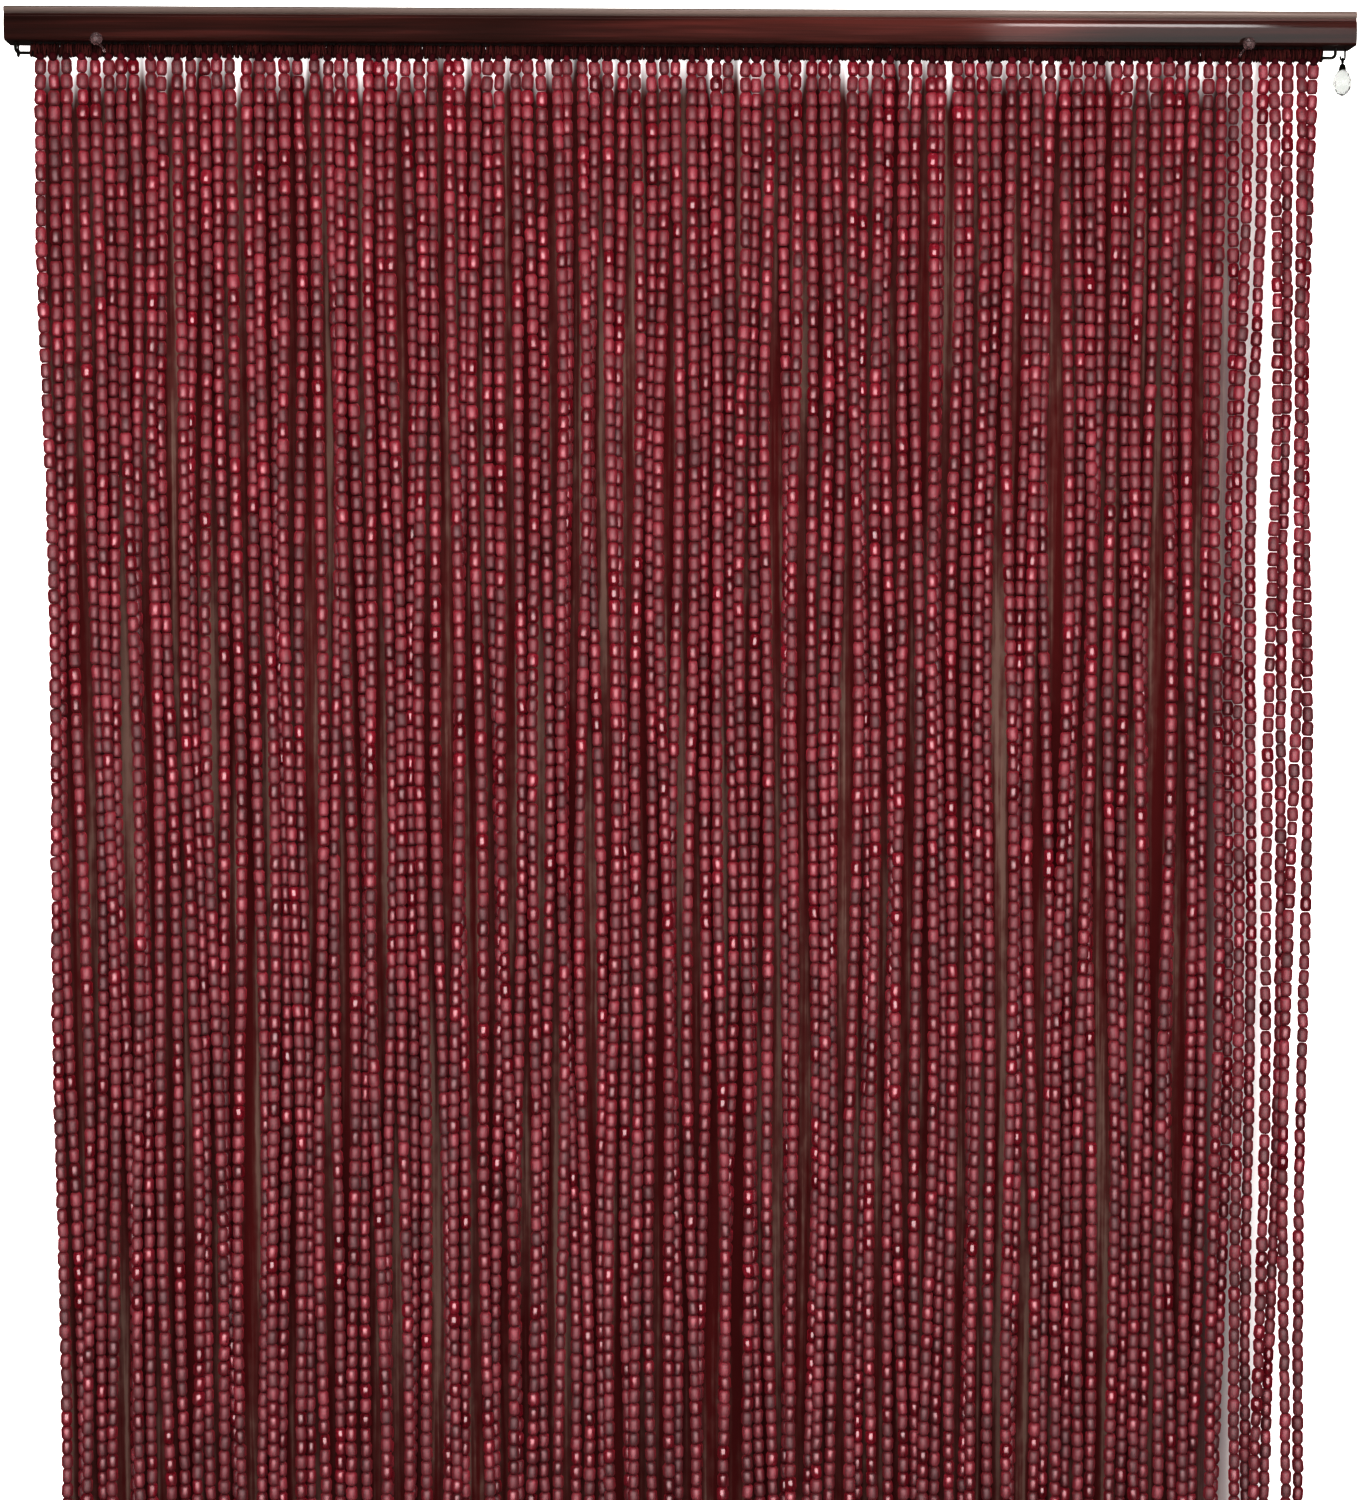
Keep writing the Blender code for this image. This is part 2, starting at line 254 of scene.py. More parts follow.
def add_piece(name, mesh, material):
    """An object that shows a mesh in one material."""
    piece = add_object(name, mesh)
    if not mesh.materials:
        mesh.materials.append(material)
    return piece


def hang_piece(name, mesh, material, body, slot, *nodes):
    """Add a piece and tie it to its body, in place of the frame's own nodes."""
    piece = add_piece(name, mesh, material)
    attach(piece, body)
    if nodes:
        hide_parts(*nodes)


def plain_mesh(name, bm):
    """A mesh from a bmesh, which it frees."""
    mesh = bpy.data.meshes.new(name)
    bm.to_mesh(mesh)
    bm.free()
    return mesh


def smooth_mesh(name, bm, sharp_angle=35.0):
    """A smooth-shaded mesh from a bmesh, its sharper edges kept crisp."""
    bmesh.ops.recalc_face_normals(bm, faces=bm.faces)
    mesh = plain_mesh(name, bm)
    mesh.shade_smooth()
    mesh.set_sharp_from_angle(angle=math.radians(sharp_angle))
    return mesh


def tube_mesh(name, points, radius, sides=12, closed=False):
    """A round tube through points, made from a bevelled curve."""
    curve = bpy.data.curves.new(name, "CURVE")
    curve.dimensions = "3D"
    curve.bevel_depth = radius
    curve.bevel_resolution = sides // 2 - 2
    curve.use_fill_caps = not closed
    spline = curve.splines.new("POLY")
    spline.points.add(len(points) - 1)
    for spline_point, point in zip(spline.points, points):
        spline_point.co = (*point, 1.0)
    spline.use_cyclic_u = closed
    holder = add_object(name, curve)
    graph = bpy.context.evaluated_depsgraph_get()
    mesh = bpy.data.meshes.new_from_object(holder.evaluated_get(graph))
    bpy.data.objects.remove(holder)
    bpy.data.curves.remove(curve)
    bm = bmesh.new()
    bm.from_mesh(mesh)
    bmesh.ops.remove_doubles(bm, verts=bm.verts, dist=0.000001)
    bpy.data.meshes.remove(mesh)
    return smooth_mesh(name, bm, 50.0)


def turned_mesh(name, profile, sides=24, sharp_angle=35.0):
    """A shape turned round Z from its profile of radius and height, top to bottom."""
    bm = bmesh.new()
    verts = [bm.verts.new((radius, 0.0, height)) for radius, height in profile]
    edges = [bm.edges.new(pair) for pair in zip(verts, verts[1:])]
    bmesh.ops.spin(
        bm, geom=verts + edges, cent=(0, 0, 0), axis=(0, 0, 1),
        angle=2 * math.pi, steps=sides, use_merge=True)
    bmesh.ops.remove_doubles(bm, verts=bm.verts, dist=0.000001)
    return smooth_mesh(name, bm, sharp_angle)


def ring_mesh(name, radius, stock, height=0.0, steps=24):
    """A ring of round wire that stands across the rail."""
    turns = [2 * math.pi * step / steps for step in range(steps)]
    points = [(0.0, radius * math.sin(turn), height + radius * math.cos(turn)) for turn in turns]
    return tube_mesh(name, points, stock, 10, closed=True)


def joined_mesh(name, meshes, place):
    """Several meshes as one, moved to its place."""
    bm = bmesh.new()
    for mesh in meshes:
        bm.from_mesh(mesh)
    joined = plain_mesh(name, bm)
    joined.transform(Matrix.Translation(place))
    for mesh in meshes:
        bpy.data.meshes.remove(mesh)
    return joined


def arc(centre, radius, start, end, steps):
    """Points along an arc, its angles in degrees."""
    turns = [math.radians(start + (end - start) * step / steps) for step in range(steps + 1)]
    return [
        (centre[0] + radius * math.cos(turn), centre[1] + radius * math.sin(turn)) for turn in turns]


def line_mesh(name, lines):
    """A mesh of open lines of points."""
    bm = bmesh.new()
    for line in lines:
        verts = [bm.verts.new(point) for point in line]
        for pair in zip(verts, verts[1:]):
            bm.edges.new(pair)
    return plain_mesh(name, bm)


# Node trees


def add_node(tree, kind, inputs=None, **settings):
    """A node with its properties set, and its inputs linked or filled by name or number."""
    node = tree.nodes.new(kind)
    for key, value in settings.items():
        setattr(node, key, value)
    for key, value in (inputs or {}).items():
        if isinstance(value, bpy.types.NodeSocket):
            tree.links.new(value, node.inputs[key])
        else:
            node.inputs[key].default_value = value
    return node


def maths(tree, operation, *values):
    """The result of a Math node."""
    node = add_node(tree, "ShaderNodeMath", dict(enumerate(values)), operation=operation)
    return node.outputs[0]


def vector(tree, x=0.0, y=0.0, z=0.0):
    """Three values as one vector."""
    return add_node(tree, "ShaderNodeCombineXYZ", {0: x, 1: y, 2: z}).outputs[0]


def parts_of(tree, value):
    """The three parts of a vector."""
    return add_node(tree, "ShaderNodeSeparateXYZ", {0: value}).outputs


def new_nodes(name, *numbers):
    """A geometry node tree: a geometry, the named numbers, a seed and a material in, a geometry out."""
    tree = bpy.data.node_groups.new(name, "GeometryNodeTree")
    tree.interface.new_socket("Geometry", in_out="INPUT", socket_type="NodeSocketGeometry")
    for label in numbers:
        tree.interface.new_socket(label, in_out="INPUT", socket_type="NodeSocketFloat")
    tree.interface.new_socket("Seed", in_out="INPUT", socket_type="NodeSocketInt")
    tree.interface.new_socket("Material", in_out="INPUT", socket_type="NodeSocketMaterial")
    tree.interface.new_socket("Geometry", in_out="OUTPUT", socket_type="NodeSocketGeometry")
    given = tree.nodes.new("NodeGroupInput").outputs
    return tree, given


def end_nodes(tree, instances, material):
    """Close a tree: instances made real, shaded smooth, given their material and put out."""
    real = add_node(tree, "GeometryNodeRealizeInstances", {"Geometry": instances})
    smooth = add_node(tree, "GeometryNodeSetShadeSmooth", {"Geometry": real.outputs[0]})
    dressed = add_node(
        tree, "GeometryNodeSetMaterial", {"Geometry": smooth.outputs[0], "Material": material})
    out = tree.nodes.new("NodeGroupOutput")
    tree.links.new(dressed.outputs[0], out.inputs[0])


def run_nodes(name, mesh, tree, values):
    """The plain mesh that a geometry node tree makes from a mesh."""
    holder = add_object(name, mesh)
    modifier = holder.modifiers.new(tree.name, "NODES")
    modifier.node_group = tree
    for item in tree.interface.items_tree:
        if item.in_out == "INPUT" and item.name in values:
            modifier[item.identifier] = values[item.name]
    graph = bpy.context.evaluated_depsgraph_get()
    made = bpy.data.meshes.new_from_object(
        holder.evaluated_get(graph), preserve_all_data_layers=True, depsgraph=graph)
    bpy.data.objects.remove(holder)
    made.name = name
    return made


def random_value(tree, low, high, seed, extra):
    """A random number on each point, from its own seed."""
    own_seed = maths(tree, "ADD", seed, float(extra))
    node = add_node(
        tree, "FunctionNodeRandomValue", {2: low, 3: high, "Seed": own_seed}, data_type="FLOAT")
    return node.outputs[1]


def share_of(tree, amount, seed, extra, low=-1.0, high=1.0):
    """A random share of an amount on each point."""
    return maths(tree, "MULTIPLY", amount, random_value(tree, low, high, seed, extra))


def strung_line(tree, line, spacing):
    """Evenly spaced points along each line of a mesh."""
    curve = add_node(tree, "GeometryNodeMeshToCurve", {0: line})
    spaced = add_node(
        tree, "GeometryNodeResampleCurve", {"Curve": curve.outputs[0], "Length": spacing}, mode="LENGTH")
    return spaced.outputs[0]


def copies_on(tree, points, piece, angles, size):
    """A copy of a piece on every point, turned by angles or a rotation, and sized."""
    node = add_node(tree, "GeometryNodeInstanceOnPoints", {
        "Points": points, "Instance": piece, "Rotation": angles, "Scale": size})
    return node.outputs[0]


def turned(tree, angles):
    """The rotation that three angles make."""
    return add_node(tree, "FunctionNodeEulerToRotation", {0: angles}).outputs[0]


def marked(tree, geometry, name, value, domain="INSTANCE"):
    """Geometry that carries a value under a name, for its material to read."""
    node = add_node(
        tree, "GeometryNodeStoreNamedAttribute",
        {"Geometry": geometry, "Name": name, "Value": value}, data_type="FLOAT", domain=domain)
    return node.outputs[0]


def bead_shape(tree, given):
    """One barrel bead along Z: full width between its shoulders and narrow at its rims."""
    radius = maths(tree, "MULTIPLY", given["Bead Diameter"], 0.5)
    barrel = add_node(
        tree, "GeometryNodeMeshCylinder",
        {"Vertices": 6, "Side Segments": 3, "Radius": radius, "Depth": given["Bead Length"]})
    position = add_node(tree, "GeometryNodeInputPosition").outputs[0]
    height = maths(tree, "DIVIDE", parts_of(tree, position)[2], given["Bead Length"])
    at_rim = maths(tree, "GREATER_THAN", maths(tree, "ABSOLUTE", height), 0.3)
    keep = maths(tree, "SUBTRACT", 1.0, at_rim)
    narrow = maths(tree, "ADD", keep, maths(tree, "MULTIPLY", at_rim, given["Rim"]))
    spread = maths(tree, "MULTIPLY", given["Shoulder"], 3.0)
    stretch = maths(tree, "ADD", at_rim, maths(tree, "MULTIPLY", keep, spread))
    moved = add_node(
        tree, "ShaderNodeVectorMath", {0: position, 1: vector(tree, narrow, narrow, stretch)},
        operation="MULTIPLY")
    rimmed = marked(tree, barrel.outputs["Mesh"], "rim", at_rim, "POINT")
    shaped = add_node(
        tree, "GeometryNodeSetPosition", {"Geometry": rimmed, "Position": moved.outputs[0]})
    return shaped.outputs[0]


def bead_string_nodes():
    """Beads strung along each line of a mesh, every one turned, leaning and toned by chance."""
    tree, given = new_nodes(
        "Bead String", "Bead Spacing", "Bead Length", "Bead Diameter", "Shoulder", "Rim", "Tilt", "Wander")
    seed = given["Seed"]
    own_spacing = share_of(tree, given["Bead Spacing"], seed, 10, 0.965, 1.035)
    spaced = strung_line(tree, given["Geometry"], own_spacing)
    off = vector(tree, *(share_of(tree, given["Wander"], seed, extra) for extra in (1, 2, 3)))
    loose = add_node(tree, "GeometryNodeSetPosition", {"Geometry": spaced, "Offset": off})
    upright = add_node(
        tree, "FunctionNodeAlignRotationToVector",
        {"Vector": add_node(tree, "GeometryNodeInputTangent").outputs[0]}, axis="Z")
    lean = vector(
        tree, share_of(tree, given["Tilt"], seed, 4), share_of(tree, given["Tilt"], seed, 11),
        random_value(tree, 0.0, 2 * math.pi, seed, 5))
    facing = add_node(
        tree, "FunctionNodeRotateRotation",
        {0: upright.outputs[0], 1: turned(tree, lean)}, rotation_space="LOCAL")
    girth = random_value(tree, 0.90, 1.05, seed, 6)
    size = vector(tree, girth, girth, random_value(tree, 0.94, 1.02, seed, 7))
    beads = copies_on(tree, loose.outputs[0], bead_shape(tree, given), facing.outputs[0], size)
    beads = marked(tree, beads, "tone", random_value(tree, 0.0, 1.0, seed, 8))
    beads = marked(tree, beads, "gloss", random_value(tree, 0.0, 1.0, seed, 9))
    end_nodes(tree, beads, given["Material"])
    return tree


def whipping_nodes():
    """Oval turns of thread set side by side along each line of a mesh, none quite alike."""
    tree, given = new_nodes(
        "Thread Turns", "Turn Spacing", "Turn Height", "Turn Depth", "Thickness", "Lean")
    seed = given["Seed"]
    spaced = strung_line(tree, given["Geometry"], given["Turn Spacing"])
    circle = add_node(
        tree, "GeometryNodeCurvePrimitiveCircle", {"Resolution": 10, "Radius": 0.5})
    oval = add_node(tree, "GeometryNodeTransform", {
        "Geometry": circle.outputs[0],
        "Scale": vector(tree, given["Turn Depth"], given["Turn Height"], 1.0)})
    stand = add_node(
        tree, "GeometryNodeTransform",
        {"Geometry": oval.outputs[0], "Rotation": (math.pi / 2, 0.0, math.pi / 2)})
    section = add_node(
        tree, "GeometryNodeCurvePrimitiveCircle",
        {"Resolution": 4, "Radius": maths(tree, "MULTIPLY", given["Thickness"], 0.5)})
    turn = add_node(
        tree, "GeometryNodeCurveToMesh",
        {"Curve": stand.outputs[0], "Profile Curve": section.outputs[0]})
    lean = vector(
        tree, 0.0, share_of(tree, given["Lean"], seed, 1), share_of(tree, given["Lean"], seed, 2))
    size = vector(
        tree, 1.0, random_value(tree, 0.85, 1.05, seed, 3), random_value(tree, 0.82, 1.0, seed, 4))
    turns = copies_on(tree, spaced, turn.outputs[0], turned(tree, lean), size)
    turns = marked(tree, turns, "tone", random_value(tree, 0.0, 1.0, seed, 5))
    end_nodes(tree, turns, given["Material"])
    return tree


def knot_nodes():
    """A small oval knot on each point of a mesh, every one leaning by chance."""
    tree, given = new_nodes("Thread Knots", "Knot Height", "Knot Width", "Lean")
    seed = given["Seed"]
    ball = add_node(tree, "GeometryNodeMeshUVSphere", {"Segments": 8, "Rings": 6, "Radius": 0.5})
    knot = add_node(tree, "GeometryNodeTransform", {
        "Geometry": ball.outputs["Mesh"],
        "Scale": vector(tree, given["Knot Width"], given["Knot Width"], given["Knot Height"])})
    points = add_node(tree, "GeometryNodeMeshToPoints", {"Mesh": given["Geometry"]})
    lean = vector(
        tree, share_of(tree, given["Lean"], seed, 1, -0.4, 0.4), share_of(tree, given["Lean"], seed, 2))
    girth = random_value(tree, 0.75, 1.1, seed, 3)
    size = vector(tree, girth, girth, random_value(tree, 0.8, 1.2, seed, 4))
    knots = copies_on(tree, points.outputs[0], knot.outputs[0], turned(tree, lean), size)
    knots = marked(tree, knots, "tone", random_value(tree, 0.0, 1.0, seed, 5))
    end_nodes(tree, knots, given["Material"])
    return tree


# Materials


def new_material(name, **values):
    """A Principled material with its even values set on the shader itself."""
    material = bpy.data.materials.new(name)
    material.use_nodes = True
    tree = material.node_tree
    shader = tree.nodes["Principled BSDF"]
    for key, value in values.items():
        socket = shader.inputs[key.replace("_", " ").title().replace("Ior", "IOR")]
        socket.default_value = (*value, 1.0) if isinstance(value, (tuple, list)) else value
    return material, tree, shader


def own_place(tree):
    """A point's place on the piece itself."""
    return add_node(tree, "ShaderNodeTexCoord").outputs["Object"]


def pattern(tree, scale, stretch=(1.0, 1.0, 1.0), detail=4.0, roughness=0.55, distortion=0.0):
    """A noise pattern on object coordinates, stretched along the piece."""
    mapped = add_node(tree, "ShaderNodeMapping", {"Vector": own_place(tree), "Scale": stretch})
    noise = add_node(tree, "ShaderNodeTexNoise", {
        "Vector": mapped.outputs[0], "Scale": scale, "Detail": detail,
        "Roughness": roughness, "Distortion": distortion})
    return noise.outputs["Fac"]


def ramp(tree, value, stops):
    """A colour ramp with the given stops of place and colour."""
    node = add_node(tree, "ShaderNodeValToRGB", {0: value})
    band = node.color_ramp
    while len(band.elements) < len(stops):
        band.elements.new(0.5)
    for element, (place, colour) in zip(band.elements, stops):
        element.position = place
        element.color = (*colour, 1.0)
    return node.outputs["Color"]


def between(tree, value, low, high):
    """A 0 to 1 value moved to another range."""
    node = add_node(tree, "ShaderNodeMapRange", {"Value": value, "To Min": low, "To Max": high})
    return node.outputs["Result"]


def soft_step(tree, value, start, end):
    """A smooth change from 0 to 1 as a value goes from one number to another."""
    node = add_node(
        tree, "ShaderNodeMapRange", {"Value": value, "From Min": start, "From Max": end},
        interpolation_type="SMOOTHSTEP")
    return node.outputs["Result"]


def pushed(tree, value, noise, amount, middle=0.5):
    """A value moved up and down by a pattern about its middle."""
    push = maths(tree, "MULTIPLY", maths(tree, "SUBTRACT", noise, middle), amount)
    return maths(tree, "ADD", value, push)


def blended(tree, factor, first, second):
    """One colour giving way to another as a factor rises."""
    node = add_node(tree, "ShaderNodeMix", {"Factor": factor}, data_type="RGBA")
    colours = [socket for socket in node.inputs if socket.type == "RGBA"]
    tree.links.new(first, colours[0])
    tree.links.new(second, colours[1])
    return [socket for socket in node.outputs if socket.type == "RGBA"][0]


def scaled(colour, amount):
    """A colour made lighter or darker."""
    return tuple(amount * channel for channel in colour)


def apply_finish(tree, shader, colour, rough, relief=None, strength=0.0, distance=0.0):
    """A shader's colour and roughness, and relief on its normal where there is any."""
    tree.links.new(colour, shader.inputs["Base Color"])
    tree.links.new(rough, shader.inputs["Roughness"])
    if relief is not None:
        bump = add_node(
            tree, "ShaderNodeBump", {"Height": relief, "Strength": strength, "Distance": distance})
        tree.links.new(bump.outputs[0], shader.inputs["Normal"])


def stained_wood(settings):
    """Mahogany stain under gloss lacquer, with grain along the rail and a painted sheen on the top bead."""
    material, tree, shader = new_material(
        "stained_wood", specular_ior_level=0.1, coat_weight=0.8, coat_roughness=0.07)
    streaks = pattern(tree, 1.0, (2.2, 40.0, 60.0), detail=5.0, distortion=0.6)
    fibres = pattern(tree, 1.0, (14.0, 700.0, 900.0), detail=3.0)
    clouds = pattern(tree, 3.2, (1.0, 1.0, 4.0), detail=2.0)
    grain = pushed(tree, maths(tree, "MULTIPLY", clouds, 0.4), streaks, 0.8, 0.12)
    grain = pushed(tree, grain, fibres, 0.25)
    along, _, height = parts_of(tree, own_place(tree))
    warm = maths(
        tree, "MULTIPLY", soft_step(tree, along, -0.02, 0.18), soft_step(tree, along, 0.30, 0.22))
    grain = maths(tree, "ADD", grain, maths(tree, "MULTIPLY", warm, 0.15))
    dark, red, pale = tuple(settings.stain_dark), tuple(settings.stain_red), tuple(settings.rubbed)
    middle = tuple(0.7 * low + 0.3 * high for low, high in zip(dark, red))
    stained = ramp(tree, grain, [(0.36, dark), (0.52, middle), (0.68, red)])
    # Painted sheen on the top bead: a paler colour above its foot, paler towards the right where the light
    # falls.
    top_sheen_spread = maths(tree, "ADD", clouds, maths(tree, "MULTIPLY", along, 0.35))
    painted_top_sheen = ramp(tree, top_sheen_spread, [(0.30, scaled(pale, 0.75)), (0.65, scaled(pale, 1.2))])
    edge_foot, fade = RAIL_HIGH.z - 2 * settings.bead_radius, 0.0006
    edge = soft_step(tree, height, edge_foot - fade, edge_foot)
    colour = blended(tree, edge, stained, painted_top_sheen)
    apply_finish(tree, shader, colour, between(tree, fibres, 0.24, 0.40), fibres, 0.12, 0.0002)
    return material


def lacquered_beads(settings):
    """Wine-red lacquer on turned wood, each bead with its own depth of colour and polish, and painted light
    and shade in runs along the strands.
    """
    material, tree, shader = new_material(
        "lacquered_beads", specular_ior_level=0.32, sheen_weight=0.8, sheen_roughness=0.55,
        sheen_tint=tuple(settings.glow))
    tone, gloss, rim = (
        add_node(tree, "ShaderNodeAttribute", attribute_name=name).outputs["Fac"]
        for name in ("tone", "gloss", "rim"))
    cloud = pattern(tree, 260.0, (1.0, 1.0, 0.35), detail=3.0)
    runs = pattern(tree, 1.0, (110.0, 110.0, 14.0), detail=2.0)
    # Painted light and shade: the runs make stretches of each strand lighter and darker, as strands in front
    # catch more light than those behind; the per-bead tone and the cloud are the beads' own colour.
    tone = pushed(tree, pushed(tree, tone, cloud, 0.7), runs, 1.3)
    shade, wine, rose = tuple(settings.shade), tuple(settings.wine), tuple(settings.rose)
    colour = ramp(tree, tone, [(0.0, shade), (0.40, wine), (0.70, wine), (1.0, rose)])
    depth = maths(tree, "SUBTRACT", 1.0, maths(tree, "MULTIPLY", maths(tree, "POWER", rim, 2.0), 0.20))
    deepened = add_node(
        tree, "ShaderNodeVectorMath", {0: colour, "Scale": depth}, operation="SCALE")
    polish = maths(tree, "ADD", maths(tree, "MULTIPLY", gloss, 0.55), maths(tree, "MULTIPLY", runs, 0.75))
    polish = maths(tree, "POWER", maths(tree, "MINIMUM", polish, 1.0), 5.0)
    rough = maths(tree, "SUBTRACT", between(tree, cloud, 0.62, 0.76), maths(tree, "MULTIPLY", polish, 0.50))
    turning = pattern(tree, 900.0, (1.0, 1.0, 0.2), detail=3.0)
    apply_finish(tree, shader, deepened.outputs[0], rough, turning, 0.08, 0.0002)
    return material


def twisted_thread(name, colour):
    """Dull dyed thread, its turns lighter and darker by chance."""
    material, tree, shader = new_material(name, specular_ior_level=0.25)
    tone = add_node(tree, "ShaderNodeAttribute", attribute_name="tone").outputs["Fac"]
    twist = pattern(tree, 2200.0, (1.0, 1.0, 1.0), detail=2.0)
    depth = maths(tree, "ADD", maths(tree, "MULTIPLY", tone, 0.7), maths(tree, "MULTIPLY", twist, 0.5))
    dyed = ramp(tree, depth, [(0.1, scaled(colour, 0.35)), (0.6, tuple(colour)), (1.0, scaled(colour, 2.2))])
    apply_finish(tree, shader, dyed, between(tree, twist, 0.65, 0.95), twist, 0.6, 0.0003)
    return material


def drawn_steel(settings):
    """Bright drawn wire with fine lines and dull patches."""
    material, tree, shader = new_material("drawn_steel", metallic=1.0)
    lines = pattern(tree, 1.0, (60.0, 2400.0, 2400.0), detail=3.0)
    patches = pattern(tree, 130.0, detail=4.0)
    drawn = ramp(tree, patches, [(0.35, scaled(settings.steel, 0.55)), (0.6, tuple(settings.steel))])
    apply_finish(tree, shader, drawn, between(tree, lines, 0.22, 0.42), lines, 0.15, 0.0001)
    return material


def dark_bronze(settings):
    """Dark patinated metal, rubbed a little brighter in patches."""
    material, tree, shader = new_material("dark_bronze", metallic=1.0)
    patches = pattern(tree, 420.0, detail=5.0)
    rubbed = ramp(tree, patches, [(0.45, tuple(settings.bronze)), (0.75, scaled(settings.bronze, 2.6))])
    apply_finish(tree, shader, rubbed, between(tree, patches, 0.45, 0.30), patches, 0.2, 0.0001)
    return material


def clear_resin(name, colour, clearness, rough, bending):
    """Clear moulded resin with a faint cloud in it."""
    material, tree, shader = new_material(
        name, transmission_weight=clearness, ior=bending, coat_weight=0.1)
    haze = pattern(tree, 240.0, detail=3.0)
    clouded = ramp(tree, haze, [(0.35, scaled(colour, 0.93)), (0.65, tuple(colour))])
    apply_finish(tree, shader, clouded, between(tree, haze, rough, rough + 0.07))
    return material


def pale_surface(name, colour):
    """A plain pale matt surface."""
    material, tree, shader = new_material(name, roughness=0.9, specular_ior_level=0.1)
    mottle = pattern(tree, 2.0, detail=3.0)
    paler = tuple(min(1.0, channel * 1.02) for channel in colour)
    colour = ramp(tree, mottle, [(0.3, colour), (0.7, paler)])
    tree.links.new(colour, shader.inputs["Base Color"])
    return material, tree, shader, colour


def wall_material():
    """The wall: pale, with painted shade behind the strands, and seen only from its front."""
    material, tree, shader, pale = pale_surface("pale_wall_painted_shade", (0.88, 0.86, 0.84))
    across, _, height = parts_of(tree, own_place(tree))
    # Painted shade: a soft-edged patch behind the curtain, its top edge uneven and below the rail.
    left = soft_step(tree, across, -0.4320, -0.4285)
    right = soft_step(tree, across, 0.432, 0.355)
    uneven = pattern(tree, 1.0, (75.0, 1.0, 0.5), detail=2.0)
    top = soft_step(tree, pushed(tree, height, uneven, 0.11), -0.006, -0.044)
    shade = maths(tree, "MULTIPLY", maths(tree, "MULTIPLY", left, right), top)
    # In the painted shade: dark red-brown with paler taupe streaks where light would pass between strands,
    # and a painted dapple of bead shadows.
    streaks = pattern(tree, 1.0, (135.0, 1.0, 3.0), detail=3.0, roughness=0.6)
    painted_bead_shadows = pattern(tree, 1.0, (150.0, 1.0, 70.0), detail=2.0)
    painted_shade_colour = ramp(tree, pushed(tree, streaks, painted_bead_shadows, 0.20), [
        (0.43, (0.078, 0.0100, 0.0105)), (0.53, (0.102, 0.034, 0.030)), (0.63, (0.172, 0.108, 0.089))])
    tree.links.new(blended(tree, shade, pale, painted_shade_colour), shader.inputs["Base Color"])
    # The wall glows white outside the painted shade and not inside it.
    lit = maths(tree, "SUBTRACT", 1.0, shade)
    tree.links.new(lit, shader.inputs["Emission Color"])
    shader.inputs["Emission Strength"].default_value = 0.8
    back = add_node(tree, "ShaderNodeNewGeometry").outputs["Backfacing"]
    open_back = add_node(tree, "ShaderNodeBsdfTransparent")
    mix = add_node(
        tree, "ShaderNodeMixShader", {0: back, 1: shader.outputs[0], 2: open_back.outputs[0]})
    tree.links.new(mix.outputs[0], tree.nodes["Material Output"].inputs["Surface"])
    return material


# Operators


def settings_of(context):
    """The curtain's settings on the scene."""
    return context.scene.bead_curtain


def rail_outline(settings):
    """The rail's section as depth and height, the same moulding as the frame's."""
    top, bottom, front = RAIL_HIGH.z, RAIL_LOW.z, RAIL_LOW.y
    bead = settings.bead_radius
    bead_foot = top - 2 * bead
    face_top = bead_foot - settings.groove_height
    face_foot = bottom + settings.edge_radius
    face = front + settings.face_bulge
    groove = front + settings.groove_depth
    outline = [(RAIL_HIGH.y, bottom), (RAIL_HIGH.y, top)]
    outline += arc((front + bead, top - bead), bead, 90, 255, 14)
    fillet, inset = 0.0004, 0.0006
    outline += arc((groove - fillet, bead_foot - inset), fillet, 40, -10, 3)
    outline += arc((groove - fillet, face_top + inset), fillet, 10, -60, 4)
    for step in range(9):
        share = step / 8
        swell = settings.face_bulge * (1 - (2 * share - 1) ** 2)
        outline.append((face - swell, face_top + (face_foot - face_top) * share))
    outline += arc((face + settings.edge_radius, face_foot), settings.edge_radius, 190, 270, 8)
    return outline


class CURTAIN_OT_rail(bpy.types.Operator):
    """Build the moulded rail"""

    bl_idname = "bead_curtain.rail"
    bl_label = "Rail"

    def execute(self, context):
        settings = settings_of(context).rail
        bm = bmesh.new()
        corners = [bm.verts.new((RAIL_LOW.x, y, z)) for y, z in rail_outline(settings)]
        section = bm.faces.new(corners)
        drawn = bmesh.ops.extrude_face_region(bm, geom=[section])["geom"]
        far_end = [item for item in drawn if isinstance(item, bmesh.types.BMVert)]
        bmesh.ops.translate(bm, verts=far_end, vec=(RAIL_HIGH.x - RAIL_LOW.x, 0.0, 0.0))
        ends = [edge for edge in bm.edges if abs(edge.verts[0].co.x - edge.verts[1].co.x) < 0.001]
        bmesh.ops.bevel(
            bm, geom=ends, offset=settings.end_bevel, segments=2, affect="EDGES", clamp_overlap=True)
        mesh = smooth_mesh("rail", bm, 28.0)
        hang_piece("rail", mesh, stained_wood(settings), "rail", "rail_wood", "head_rail")
        return {"FINISHED"}


